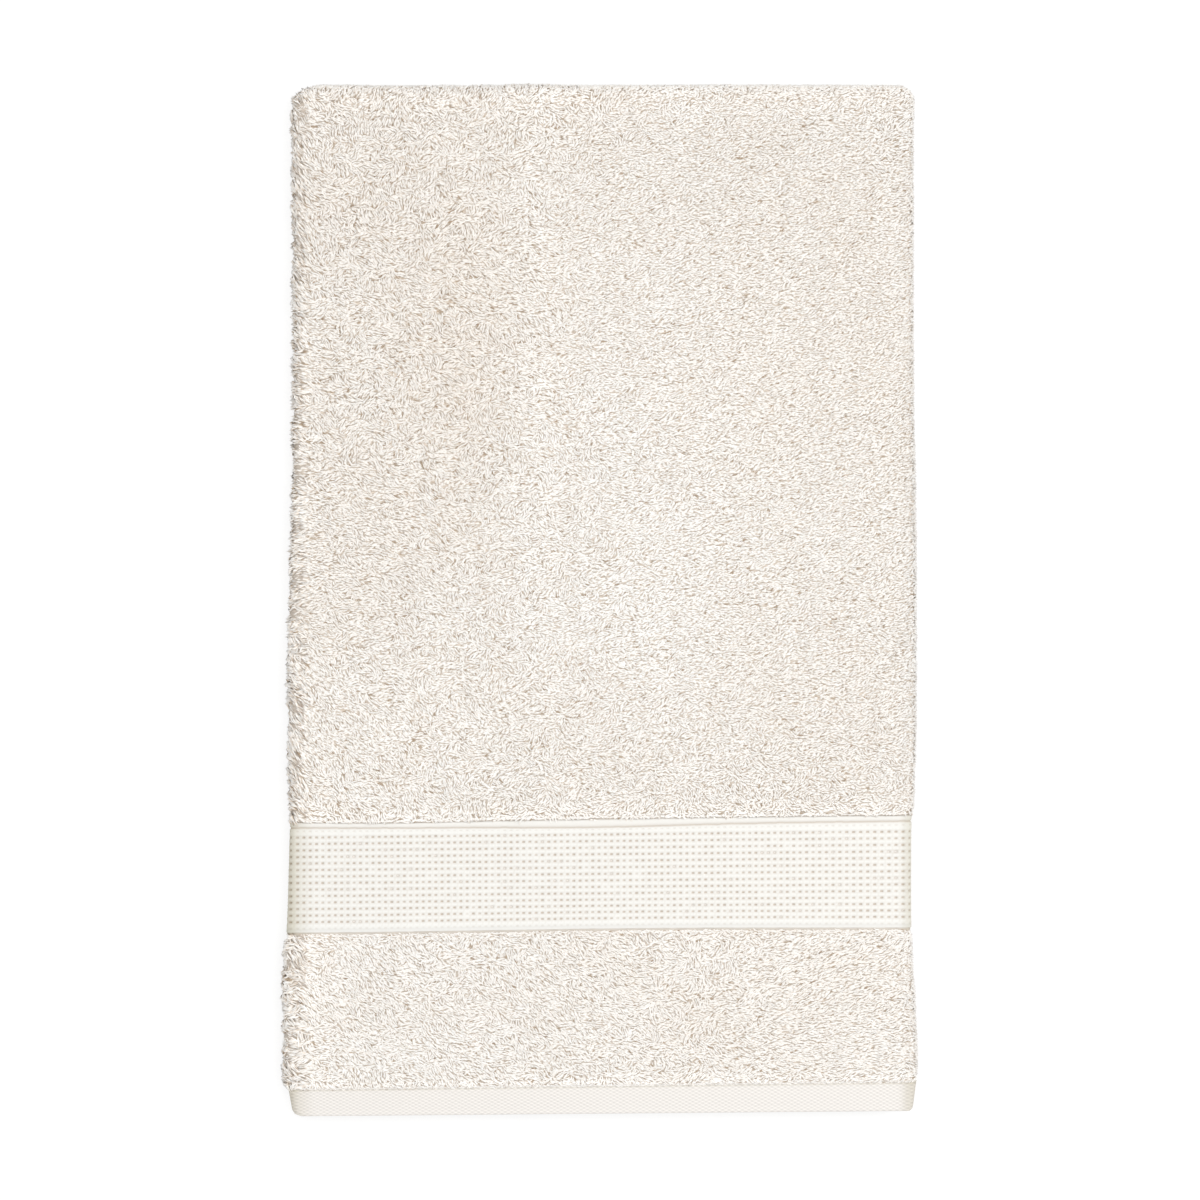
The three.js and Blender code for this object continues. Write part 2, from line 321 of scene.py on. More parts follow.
# Random numbers on a grid of cells over the towel. It repeats only far outside it.
CELLS = 257
GRID_MIDDLE = 100.0


def seeded_grid(seed, low, high, *each):
    """Numbers for each cell, the same ones each time for the same seed."""
    return np.random.default_rng(SEED * 1000 + seed).uniform(low, high, (CELLS, CELLS, *each))


def soft_noise(x, y, size, seed):
    """Smooth noise from -1 to 1 with features of about that size."""
    grid = seeded_grid(seed, -1.0, 1.0)
    gx, gy = np.asarray(x) / size + GRID_MIDDLE, np.asarray(y) / size + GRID_MIDDLE
    ix, iy = np.floor(gx).astype(int), np.floor(gy).astype(int)
    fx, fy = gx - ix, gy - iy
    fx, fy = fx * fx * (3 - 2 * fx), fy * fy * (3 - 2 * fy)

    def corner(dx, dy):
        return grid[(ix + dx) % CELLS, (iy + dy) % CELLS]

    low = corner(0, 0) * (1 - fx) + corner(1, 0) * fx
    high = corner(0, 1) * (1 - fx) + corner(1, 1) * fx
    return low * (1 - fy) + high * fy


# Tufts: loops that lie together, parted by short dark gaps
TUFT_ACROSS = 6.6
TUFT_ALONG = 3.9
TUFT_GAP = 0.19          # how far a gap reaches into its tufts, as a share of their size
TUFT_SEED = 5
NEAR_SIDE = (0.1, 0.5)   # where the near side of a tuft begins, and is full, as shares of its size


def tufts(x, y):
    """How far each place lies inside its tuft, from 0 at the gap to 1, how near it is to the near side
    of the tuft, and three numbers of its tuft."""
    numbers = seeded_grid(TUFT_SEED, 0.0, 1.0, 5)
    gx, gy = x / TUFT_ACROSS + GRID_MIDDLE, y / TUFT_ALONG + GRID_MIDDLE
    nearest = np.full(x.shape, np.inf)
    second = nearest.copy()
    own = np.zeros(x.shape + (3,))
    offset = np.zeros(x.shape)
    for dx in (-1, 0, 1):
        for dy in (-1, 0, 1):
            ix, iy = np.floor(gx).astype(int) + dx, np.floor(gy).astype(int) + dy
            cell = numbers[ix % CELLS, iy % CELLS]
            distance = np.hypot(gx - ix - cell[..., 0], gy - iy - cell[..., 1])
            closer = distance < nearest
            second = np.where(closer, nearest, np.minimum(second, distance))
            nearest = np.minimum(nearest, distance)
            own = np.where(closer[..., None], cell[..., 2:], own)
            offset = np.where(closer, gy - iy - cell[..., 1], offset)
    return np.clip((second - nearest) / TUFT_GAP, 0.0, 1.0), smooth_step(-offset, *NEAR_SIDE), own


# Meshes

def add_mesh(name, points, faces, colours, cloth_places=None):
    """A mesh object from arrays of points in metres and triangles or quads, with smooth faces."""
    mesh = bpy.data.meshes.new(name)
    corners = faces.shape[1]
    mesh.vertices.add(len(points))
    mesh.vertices.foreach_set("co", points.astype(np.float32).ravel())
    mesh.loops.add(faces.size)
    mesh.loops.foreach_set("vertex_index", faces.astype(np.int32).ravel())
    mesh.polygons.add(len(faces))
    mesh.polygons.foreach_set("loop_start", np.arange(0, faces.size, corners, dtype=np.int32))
    mesh.polygons.foreach_set("use_smooth", np.ones(len(faces), dtype=bool))
    mesh.update(calc_edges=True)
    layer = mesh.color_attributes.new("tone", "FLOAT_COLOR", "POINT")
    with_alpha = np.concatenate([colours, np.ones((len(colours), 1))], axis=1)
    layer.data.foreach_set("color", with_alpha.astype(np.float32).ravel())
    if cloth_places is not None:
        layer = mesh.uv_layers.new(name="cloth")
        layer.data.foreach_set("uv", cloth_places[faces.ravel()].astype(np.float32).ravel())
    mesh.validate()
    piece = bpy.data.objects.new(name, mesh)
    bpy.context.scene.collection.objects.link(piece)
    return piece


# The woven ground: one closed sheet on all the folds

GROUND_HALF = 0.75       # from the middle of the cloth to the foot of the single loops
LOOPED_FROM = 3.5        # cloth thicker than this has loops
SKIN = 0.1               # how much thinner the ground is than the cloth, on each side
FOLD_FULLNESS = 0.9      # how far the ground stands out more round the crosswise fold
LOOPED_SIDE_FULLNESS = 0.3     # and round the side folds, under the loops
SIDE_FULLNESS = 0.7      # how far flat cloth stands out more at its side folds
BORDER_MARGIN = 0.5      # how far the ground stays low past the border, under its weave

# Its colours
# painted shade: the ground's colour under the loops, darker for the shade between them
UNDER_LOOPS_SHADED = (0.75, 0.66, 0.57)
UNDER_LEFT_PAINTED_SHADE = 0.35  # painted shade: how much darker it is under the loops of the left edge
UNDER_LEFT_FROM, UNDER_LEFT_FULL = 158.0, 166.0
WOVEN = (0.785, 0.752, 0.715)
HEM_PAINTED_SHADE_ROWS = [HEM_LINE - 1.0, HEM_LINE - 0.6]     # where the hem has painted shade, under the edge of the terry
HEM_PAINTED_SHADE = 0.15
HEM_PAINTED_SHADE_REACH = 0.45
HEM_END_PAINTED_LIGHT = 0.12     # painted light: how much lighter the round end of the hem is
HEM_END_REACH = 1.6

# Its mesh: rows on the upper half, on the lower one and over the crosswise fold, and stations across
UPPER_STEP = 8.0
LOWER_STEP = 12.0
LEAST_STEP = 0.4
TURN_SHARES = np.linspace(0.0, 1.0, 17)
FLAP_SHARES = np.linspace(0.0, 1.0, 8)
FOLD_SHARES = np.linspace(0.0, 1.0, 9)
OUTER_SHARES = 0.5 - 0.5 * np.cos(np.linspace(0.0, math.pi, 49))


def ground_stations(s):
    """t of the stations across the cloth for each s, from selvedge to selvedge."""
    row = cloth_row(s)
    fold = math.pi * row["radius"]
    left_flap = SELVEDGES_AT - SELVEDGES_GAP / 2 - row["left_turn"]
    right_flap = row["right_turn"] - SELVEDGES_AT - SELVEDGES_GAP / 2
    keys = [
        row["left_turn"] - fold - left_flap,
        row["left_turn"] - fold - left_flap + SELVEDGE_WIDTH,
        row["left_turn"] - fold,
        row["left_turn"],
        row["right_turn"],
        row["right_turn"] + fold,
        row["right_turn"] + fold + right_flap - SELVEDGE_WIDTH,
        row["right_turn"] + fold + right_flap,
    ]
    shares = [np.array([0.0, 1.0]), FLAP_SHARES, FOLD_SHARES, OUTER_SHARES, FOLD_SHARES, FLAP_SHARES]
    shares.append(shares[0])
    parts = []
    for number, part in enumerate(shares):
        start, end = keys[number], keys[number + 1]
        kept = part if number == 0 else part[1:]
        parts.append(start[:, None] + (end - start)[:, None] * kept)
    return np.concatenate(parts, axis=1)


def ground_rows():
    """s of the rows of the ground, close together where the cloth's thickness changes."""
    upper = np.arange(0.0, TURN_AT, UPPER_STEP)
    lower = np.arange(TURN_END, CLOTH_LENGTH, LOWER_STEP)
    turning = TURN_AT + (TURN_END - TURN_AT) * TURN_SHARES
    rows = np.unique(np.round(np.concatenate([CLOTH["s"], upper, lower, HEM_PAINTED_SHADE_ROWS, turning]), 3))
    keep = np.concatenate([[True], np.diff(rows) > LEAST_STEP])
    return rows[keep]


def side_bulge(s, t):
    """How far flat cloth stands out more where it turns round its side folds."""
    row = cloth_row(s)
    past = np.maximum(row["left_turn"] - t, t - row["right_turn"])
    around = np.clip(past / row["radius"], 0.0, math.pi)
    return SIDE_FULLNESS * np.sin(around) * (s < TURN_AT)


def ground_heights(s, t, row, on_flap, looped, at_sides):
    """How far the two faces of the ground lie from the middle of the cloth, up and down."""
    from_edge = np.minimum(t - t[:, :1], t[:, -1:] - t)
    half = row["thick"] / 2
    edge_half = np.minimum(SELVEDGE / 2, half)
    half = edge_half + (half - edge_half) * smooth_step(from_edge, 0, SELVEDGE_WIDTH)
    fuller = FOLD_FULLNESS * np.sin(row["turned"]) + np.where(at_sides, LOOPED_SIDE_FULLNESS, 0.0)
    under_loops = GROUND_HALF + (row["thick"] - TERRY) / 2 + fuller
    outside = np.where(looped, under_loops, half - SKIN + side_bulge(s, t))
    in_border = (s > BORDER_START - BORDER_MARGIN) & (s < BORDER_END + BORDER_MARGIN) & ~on_flap
    return np.where(in_border, -SKIN, outside), half - SKIN


def ground_tone(s, t, looped):
    """Colours of the ground's outer face: painted shade under the loops, painted shade under the edge of
    the terry on the hem, and painted shade where flat cloth bends down at its sides.
    """
    at_left = smooth_step(-t, UNDER_LEFT_FROM, UNDER_LEFT_FULL)
    under = np.array(UNDER_LOOPS_SHADED) * (1.0 - UNDER_LEFT_PAINTED_SHADE * at_left)[..., None]
    # painted shade on the hem under the edge of the terry
    terry_painted_shade = HEM_PAINTED_SHADE * np.exp(-((s - HEM_PAINTED_SHADE_ROWS[-1]) / HEM_PAINTED_SHADE_REACH) ** 2)[..., None]
    flat = np.array(WOVEN) * fold_painted_shade(t) * (1.0 - terry_painted_shade * np.array(WARM_PAINTED_SHADE))
    return np.where(looped[..., None], under, flat)


def closed_sheet_faces(count, across):
    """Quads round a closed sheet. Each of its rows goes over the outer face and back over the inner one."""
    width = across * 2
    index = np.arange(count * width).reshape(count, width)
    here, beyond = index[:-1], index[1:]
    faces = np.stack([here, np.roll(here, -1, 1), np.roll(beyond, -1, 1), beyond], -1).reshape(-1, 4)
    j = np.arange(across - 1)
    first = np.stack([j, width - 1 - j, width - 2 - j, j + 1], -1)
    last = (count - 1) * width + first[:, ::-1]
    return np.concatenate([faces, first, last])


def build_ground():
    """The woven sheet itself, over all the folds."""
    s = ground_rows()
    t = ground_stations(s)
    s = np.repeat(s[:, None], t.shape[1], axis=1)
    row = cloth_row(s)
    fold = math.pi * row["radius"]
    at_sides = (t < row["left_turn"]) | (t > row["right_turn"])
    on_flap = (t < row["left_turn"] - fold) | (t > row["right_turn"] + fold)
    looped = (row["thick"] > LOOPED_FROM) & ~on_flap & ((s < TURN_END) | at_sides)
    outside, inside = ground_heights(s, t, row, on_flap, looped, at_sides)
    upper = place(s, t, outside)
    lower = place(s, t, -inside)
    ring = np.concatenate([upper, lower[:, ::-1]], axis=1)
    places = np.stack([t, s], -1)
    places = np.concatenate([places, places[:, ::-1]], axis=1).reshape(-1, 2) * MM
    tone = ground_tone(s, t, looped)
    plain = np.broadcast_to(np.array(WOVEN), tone.shape)
    # painted light on the round end of the hem
    end_painted_light = 1.0 + HEM_END_PAINTED_LIGHT * np.exp(-(s / HEM_END_REACH) ** 2)[..., None]
    colours = np.concatenate([tone * end_painted_light, plain * end_painted_light], axis=1).reshape(-1, 3)
    points = to_frame(ring.reshape(-1, 3))
    faces = closed_sheet_faces(*t.shape)
    return add_mesh("towel_cloth", points, faces, colours, places)


# Loops of the terry

LOOP_TOP = 1.95          # from the middle of the cloth to the middle of a loop's crown, in plain terry
LOOP_FOOT = 0.45
LEAST_HEIGHT = 0.1       # over the surface that the towel lies on
CROWN_UNEVEN = 0.13      # spread of the crowns' heights
SCATTER = 0.38           # spread of the loops' places
THICK_REACH = 2.0        # how near thicker cloth counts for their height
BORDER_DROP = 0.85       # how much lower loops are beside the border
BORDER_DROP_FROM, BORDER_DROP_FULL = STRIP_END - 2.5, STRIP_END + 0.5
SIDE_RISE = 0.4          # how much higher they stand round the side folds
SIDE_RISE_REACH = 3.0
FOLD_RISE = 0.8          # and round the crosswise fold
FOLD_FOOT = 0.9          # how much higher their feet are there

# How far whole tufts differ
TUFT_UNEVEN = 0.35       # in height
TUFT_LENGTHS = 0.16      # in the length of their loops, as a share
TUFT_BOWS = 0.7          # in the loops' bow

# The gaps between tufts
GAP_POWER = 1.2          # more than 1 for gaps that deepen late
GAP_FAR_SIDE = 0.35      # how much of a gap there is at the far side of a tuft
GAP_THIN = 0.25          # share of the loops that are missing in the middle of a gap
GAP_THIN_RIGHT = 0.1     # how much of that holds on the right
GAP_DROP = 0.75          # how much lower loops are beside a gap
GAP_DROP_RIGHT = 0.5     # how much of that holds on the right
DEEP_RIGHT = 0.43        # share of the loops in the middle of a gap that lie deep, on the right
DEEP_DROP = 0.5          # how much lower they are
GAP_PAINTED_SHADE = (0.53, 0.44, 0.345)    # painted shade on them, as shares of the pile's own colour

# The pile is more uneven over the left part of the towel
LEFT_FULL, LEFT_END = -85.0, 0.0       # t up to which it is so in full, and where it ends
LEFT_START, LEFT_BODY = 230.0, 400.0   # s from which it grows, and where it is full
LEFT_LEAST = 0.35        # how much of it there is beside the border
LEFT_SHADE = 0.15        # how much stronger the loops' painted shade is there
LEFT_RELIEF = 0.3        # how much more their ridges stand up
LEFT_TUFTS = 0.8         # how much more the heights of tufts differ
LEFT_GAPS = 0.8          # how much more of the drop beside a gap there is
LEFT_DEEP = 0.57         # how much larger the share of deep loops is
LEFT_LONGER = 0.18       # how much longer its loops are
RIGHT_LENGTH = 0.92      # share of their mean length that loops have on the right

# The loops of the left edge are long, loose and far apart
EDGE_FROM, EDGE_FULL = 156.0, 166.0
EDGE_THIN = 0.3          # share of the loops that are missing there
EDGE_LONGER = 0.9
EDGE_WIDER = 0.3
EDGE_HEIGHT_SPREAD = 0.4
EDGE_TONE_SPREAD = 0.10
# how much stronger the loops' painted shade is at the left edge
EDGE_SHADE = 1.9
HOLLOW_SIZE = 4.5        # of the low places between its locks
HOLLOW_SQUEEZE = 0.6     # their length along the towel, as a share of their width
HOLLOW_LEVELS = (0.1, 0.5)     # of the noise, where one begins and is full
HOLLOW_SEED = 11
HOLLOW_DROP = 1.2
# painted shade in the low places between its locks
HOLLOW_PAINTED_SHADE = 0.06

# Spread of the loops' other measures
LENGTH_SPREAD = 0.12     # as a share
TILT_SPREAD = 0.7        # how much one end is higher than the other
BOW_SPREAD = 0.18
WIDTH_SPREAD = 0.1       # as a share
TONE_SPREAD = 0.025      # as a share
LEAST_SHADE = 0.6        # how strongly a loop's painted shade shows, at least and on top of that
MORE_SHADE = 0.9
BRIGHTEST = 0.98

# The direction in which a loop lies is that of its tuft, with these added, as strengths
LIE_ACROSS = 0.4         # across the towel
LIE_WANDER = 0.6         # a direction that changes softly from place to place
LIE_WANDER_SIZE = 3.4
LIE_WANDER_SEEDS = (1, 3)
LIE_SPREAD = 0.2         # of its own

# Which way the loops lie on the upper face.
# x, y: the middle of a stretch. reach_x, reach_y: how far it goes. degrees: from +X towards +Y.
# strength: how much they keep to it, where 1 is about as strong as their own disorder.
LIES = [
    (-60.0, 562.0, 110.0, 10.0, 85.0, 1.8),
    (-95.0, 520.0, 70.0, 34.0, 84.0, 0.5),
    (-38.0, 450.0, 16.0, 50.0, -32.0, 0.6),
    (-167.0, 500.0, 14.0, 60.0, -44.0, 2.4),
    (-167.0, 400.0, 13.0, 42.0, -8.0, 1.4),
    (-167.0, 305.0, 13.0, 42.0, 18.0, 2.0),
    (-167.0, 200.0, 16.0, 45.0, -46.0, 2.0),
    (-125.0, 195.0, 38.0, 38.0, -32.0, 1.0),
    (-120.0, 300.0, 45.0, 50.0, -14.0, 0.8),
    (-75.0, 450.0, 60.0, 45.0, -28.0, 0.4),
    (55.0, 470.0, 75.0, 110.0, 27.0, 1.5),
    (55.0, 270.0, 75.0, 90.0, 26.0, 1.1),
    (130.0, 370.0, 32.0, 210.0, 28.0, 1.4),
    (168.0, 400.0, 11.0, 190.0, 36.0, 2.2),
    (-140.0, 72.0, 40.0, 26.0, -36.0, 1.2),
    (-25.0, 72.0, 36.0, 26.0, -32.0, 1.2),
    (-70.0, 32.0, 70.0, 20.0, -22.0, 0.8),
    (125.0, 76.0, 45.0, 22.0, 31.0, 2.4),
    (130.0, 34.0, 60.0, 20.0, 14.0, 2.0),
]


def loop_rows(s_from, s_to):
    """s of the rows of loops, closer together where the cloth turns over its crosswise fold."""
    rows = []
    s = s_from
    while s < s_to:
        rows.append(s)
        s += LOOP_PITCH_S * (TURN_PITCH_SHARE if TURN_AT < s < TURN_END else 1.0)
    return rows


def loop_grid(rows, fold_from, fold_to, with_middle=True):
    """Places of the loops, for rows at those s: over the outer layer, and round the side folds between
    two shares of their half circle."""
    s_all, t_all = [], []
    for number, s in enumerate(rows):
        row = {name: float(value) for name, value in cloth_row(np.float64(s)).items()}
        fold = math.pi * row["radius"]
        step = LOOP_PITCH_T * row["radius"] / (row["radius"] + LOOP_TOP)
        past = np.arange(step / 2, fold, step)
        past = past[(past >= fold_from * fold) & (past <= fold_to * fold)]
        stagger = (number % 2) * LOOP_PITCH_T / 2
        middle = np.arange(row["left_turn"], row["right_turn"], LOOP_PITCH_T) + stagger
        parts = [row["left_turn"] - past[::-1], row["right_turn"] + past]
        if with_middle:
            parts.insert(1, middle)
        t = np.concatenate(parts)
        s_all.append(np.full(len(t), s))
        t_all.append(t)
    return np.concatenate(s_all), np.concatenate(t_all)


def lie_of_loops(x, y, tuft_turn, rng):
    """The direction in which each loop lies, in radians. Directions are averaged as lines, not arrows."""
    wander = [LIE_WANDER * soft_noise(x, y, LIE_WANDER_SIZE, seed) for seed in LIE_WANDER_SEEDS]
    along = LIE_ACROSS + np.cos(2 * tuft_turn) + wander[0] + rng.normal(0.0, LIE_SPREAD, x.shape)
    aside = np.sin(2 * tuft_turn) + wander[1] + rng.normal(0.0, LIE_SPREAD, x.shape)
    for cx, cy, reach_x, reach_y, degrees, strength in LIES:
        weight = strength * np.exp(-((x - cx) / reach_x) ** 2 - ((y - cy) / reach_y) ** 2)
        along += weight * math.cos(2 * math.radians(degrees))
        aside += weight * math.sin(2 * math.radians(degrees))
    return 0.5 * np.arctan2(aside, along)


# The corners of a loop: its root, one side, the ridge of its crown, the other side and its tip.
# along: share of its length. aside: share of its width. rise: share of the way from foot to crown.
# up: more height, as a share of its width. bend: share of its bow.
LOOP_CORNERS = [
    (-0.5, 0.0, 0.40, 0.0, -0.5),
    (-0.14, 0.5, 0.95, -0.34, 0.4),
    (0.0, 0.0, 1.0, 0.40, 0.5),
    (0.14, -0.5, 0.95, -0.34, 0.4),
    (0.5, 0.0, 0.50, 0.0, -0.5),
]
LOOP_FACES = [(2, 0, 3), (2, 3, 4), (2, 4, 1), (2, 1, 0)]
# Painted shade on the corners of a loop, as shares of the cloth's colour: root, sides and tip darker than
# the crown
ROOT_PAINTED_SHADE = (0.71, 0.625, 0.535)
LOOP_SIDE_PAINTED_SHADE = (0.962, 0.945, 0.922)
CROWN_SHADE = (1.0, 1.0, 1.0)
TIP_PAINTED_SHADE = (0.905, 0.87, 0.83)
LOOP_PAINTED_SHADE = [ROOT_PAINTED_SHADE, LOOP_SIDE_PAINTED_SHADE, CROWN_SHADE, LOOP_SIDE_PAINTED_SHADE, TIP_PAINTED_SHADE]


def scattered_pile(s, t, scatter, rng):
    """The loops near those places that aren't missing, as arrays by name: where they stand, the numbers of
    their tuft, how far they belong to the left part and the left edge, and how deep they lie in a gap."""
    s = s + rng.normal(0.0, scatter, len(s))
    t = t + rng.normal(0.0, scatter, len(t))
    inside, near_side, own = tufts(t, s)
    left_along = LEFT_LEAST * (s > BORDER_END) + (1.0 - LEFT_LEAST) * smooth_step(s, LEFT_START, LEFT_BODY)
    left = (1.0 - smooth_step(t, LEFT_FULL, LEFT_END)) * left_along
    edge = smooth_step(-t, EDGE_FROM, EDGE_FULL)
    gap = (1.0 - inside) ** GAP_POWER * (GAP_FAR_SIDE + (1.0 - GAP_FAR_SIDE) * near_side)
    thinned = GAP_THIN * gap * (GAP_THIN_RIGHT + (1.0 - GAP_THIN_RIGHT) * left) + EDGE_THIN * edge
    kept = rng.uniform(0.0, 1.0, len(s)) > thinned
    pile = {"s": s, "t": t, "tuft": own, "left": left, "edge": edge, "gap": gap}
    return {key: values[kept] for key, values in pile.items()}


def crown_heights(pile, row, past, deep, hollow, drop):
    """Heights of the loops' crowns over the middle of the cloth."""
    s, left, gap = pile["s"], pile["left"], pile["gap"]
    terry_thick = np.maximum(cloth_row(s - THICK_REACH)["thick"], cloth_row(s + THICK_REACH)["thick"])
    before_border = s < (BORDER_START + BORDER_END) / 2
    beside_border = smooth_step(s, BORDER_DROP_FROM, BORDER_DROP_FULL) * before_border
    at_side = smooth_step(past, 0.0, SIDE_RISE_REACH)
    gap_drop = GAP_DROP * gap * (GAP_DROP_RIGHT + LEFT_GAPS * left)
    crown = terry_thick / 2 - TERRY / 2 + LOOP_TOP - drop
    crown += SIDE_RISE * at_side + FOLD_RISE * np.sin(row["turned"]) - DEEP_DROP * deep
    crown += TUFT_UNEVEN * (pile["tuft"][..., 1] - 0.5) * (1.0 + LEFT_TUFTS * left)
    crown -= gap_drop + HOLLOW_DROP * hollow + BORDER_DROP * beside_border
    return crown


def loop_colours(pile, deep, hollow, rng):
    """Colours of the corners of each loop: the cloth's by place, with painted shade on its root, sides and
    tip, on loops deep in a gap and in the hollows of the left edge.
    """
    count = len(deep)
    spread = TONE_SPREAD + EDGE_TONE_SPREAD * pile["edge"]
    evenness_and_hollow_shade = 1.0 - HOLLOW_PAINTED_SHADE * hollow + rng.normal(0.0, 1.0, count) * spread
    tint = cloth_tint(pile["t"], pile["s"]) * evenness_and_hollow_shade[:, None]
    tint = tint * np.where(deep[:, None], np.array(GAP_PAINTED_SHADE), 1.0)
    strength = LEAST_SHADE + rng.exponential(MORE_SHADE, count)
    strength *= 1.0 + LEFT_SHADE * pile["left"] + EDGE_SHADE * pile["edge"]
    colours = tint[:, None, :] * np.array(LOOP_PAINTED_SHADE)[None] ** strength[:, None, None]
    return np.clip(colours, 0, BRIGHTEST).reshape(-1, 3)


def build_loops(name, s, t, length, lie=None, drop=0.0, scatter=SCATTER):
    """Loops at those places, each a short bent yarn that rises from the ground, lies over and dips back.
    length: their mean length. lie: their direction, if it isn't the pile's own. drop: how much lower they
    are. scatter: the spread of their places."""
    rng = np.random.default_rng(SEED + sum(map(ord, name)))
    pile = scattered_pile(s, t, scatter, rng)
    s, t, tuft, left, edge = (pile[key] for key in ("s", "t", "tuft", "left", "edge"))
    count = len(s)
    row = cloth_row(s)
    past = np.maximum(np.maximum(row["left_turn"] - t, t - row["right_turn"]), 0.0)
    noise = soft_noise(t * HOLLOW_SQUEEZE, s, HOLLOW_SIZE, HOLLOW_SEED)
    hollow = edge * smooth_step(noise, *HOLLOW_LEVELS)
    if lie is None:
        direction = lie_of_loops(t, s, math.pi * tuft[..., 0], rng)
    else:
        direction = lie + rng.normal(0.0, LIP_TURN, count)
    long = RIGHT_LENGTH + LEFT_LONGER * left + EDGE_LONGER * edge + TUFT_LENGTHS * (tuft[..., 1] - 0.5)
    long = length * long * (1.0 + rng.normal(0.0, LENGTH_SPREAD, count))
    deep = rng.uniform(0.0, 1.0, count) < pile["gap"] * (DEEP_RIGHT + LEFT_DEEP * left)
    crown = crown_heights(pile, row, past, deep, hollow, drop)
    crown += rng.normal(0.0, 1.0, count) * (CROWN_UNEVEN + EDGE_HEIGHT_SPREAD * edge)
    tilt = rng.normal(0.0, TILT_SPREAD, count)
    bow = TUFT_BOWS * (tuft[..., 2] - 0.5) + rng.normal(0.0, BOW_SPREAD, count)
    width = YARN_WIDTH * (1.0 + EDGE_WIDER * edge + rng.normal(0.0, WIDTH_SPREAD, count))
    foot = LOOP_FOOT + FOLD_FOOT * np.sin(row["turned"])
    relief = 1.0 + LEFT_RELIEF * left
    squeeze_t = np.where(past > 0, row["radius"] / (row["radius"] + LOOP_TOP), 1.0)
    over_fold = (s > TURN_AT) & (s < TURN_END)
    squeeze_s = np.where(over_fold, OUTER_MIDDLE / (OUTER_MIDDLE + LOOP_TOP), 1.0)
    along_t, along_s = np.cos(direction), np.sin(direction)

    def corner(share, aside, rise, up, bend):
        ahead = share * long
        off = bend * bow + aside * width
        height = foot + (crown - foot) * rise + up * width * relief + share * tilt
        return (
            t + (ahead * along_t - off * along_s) * squeeze_t,
            s + (ahead * along_s + off * along_t) * squeeze_s,
            height,
        )

    corners = [corner(*values) for values in LOOP_CORNERS]
    t_all, s_all, h_all = (np.stack([values[axis] for values in corners], axis=1) for axis in range(3))
    points = to_frame(place(s_all, t_all, h_all).reshape(-1, 3))
    points[:, 2] = np.maximum(points[:, 2], LEAST_HEIGHT * MM)
    faces = (np.array(LOOP_FACES)[None] + len(corners) * np.arange(count)[:, None, None]).reshape(-1, 3)
    return add_mesh(name, points, faces, loop_colours(pile, deep, hollow, rng))


def loops_in_pieces(name, s, t, length):
    """The same as build_loops, shared out among as many meshes as it takes."""
    pieces = []
    parts = math.ceil(len(s) / LOOPS_A_PIECE)
    for number, chosen in enumerate(np.array_split(np.arange(len(s)), parts)):
        pieces.append(build_loops(f"{name}_{number + 1}", s[chosen], t[chosen], length))
    return pieces


def lip(name, s, height_drop):
    """A close row of loops that lie along the edge of the terry and hang a little over what is next."""
    row = {key: float(value) for key, value in cloth_row(np.float64(s)).items()}
    fold = math.pi * row["radius"] * LIP_FOLD_SHARE
    t = np.arange(row["left_turn"] - fold, row["right_turn"] + fold, LIP_PITCH)
    s = np.full(len(t), s)
    return build_loops(name, s, t, LIP_LOOP, lie=0.0, drop=height_drop, scatter=LIP_SCATTER)


# Colour

CREAM = (0.900, 0.893, 0.878)
WARM = (0.878, 0.841, 0.797)
WARMTH = 0.12            # share of the warm colour
WARMTH_NOISES = [        # and softly more or less of it: strength, size and seed
    (0.12, 45.0, 8),
    (0.08, 14.0, 9),
]

# Faint streaks along the towel
STREAK_SHADE = 0.008     # how much darker
STREAK_SIZE = 12.0
STREAK_ACROSS, STREAK_ALONG = 0.5, 3.0      # shares of that size
STREAK_SEED = 10

# Soft warmer, darker or lighter places of the upper face. Some are the cloth's own tone; others are painted
# light and shade, each marked below.
# x, y: the middle. reach_x, reach_y: how far it goes. warmth: how much more of the warm colour.
# shade: how much darker, and lighter below 0.
TINTS_AND_PAINTED_LIGHT = [
    (-80.0, 480.0, 45.0, 50.0, 0.3, -0.005),
    (-78.0, 400.0, 26.0, 60.0, 0.4, 0.0),
    (-140.0, 420.0, 45.0, 150.0, 0.2, 0.0),
    # painted light along the left side fold
    (-172.0, 300.0, 11.0, 400.0, -0.3, -0.03),
    # painted shade on the right side fold
    (174.0, 400.0, 7.0, 400.0, 0.0, 0.2),
    (100.0, 520.0, 90.0, 60.0, 0.05, 0.025),
    (140.0, 380.0, 45.0, 150.0, 0.1, 0.022),
    (120.0, 60.0, 60.0, 45.0, 0.1, 0.012),
    # painted light along the lower part of the left edge
    (-160.0, 110.0, 22.0, 110.0, 0.0, -0.06),
    (-100.0, 215.0, 60.0, 45.0, -0.05, -0.03),
    # painted light on the terry beside the border
    (0.0, 164.5, 300.0, 4.0, 0.0, -0.045),
    # painted light on the terry beside the hem
    (0.0, 17.5, 300.0, 2.5, 0.0, -0.07),
    (0.0, 60.0, 250.0, 40.0, 0.13, -0.008),
    # painted light over the crosswise fold
    (0.0, 562.0, 400.0, 12.0, 0.05, -0.105),
    # painted highlight along the ridge over the selvedges
    (-38.0, 420.0, 12.0, 200.0, -0.1, -0.03),
    (20.0, 300.0, 45.0, 110.0, -0.25, -0.02),
]

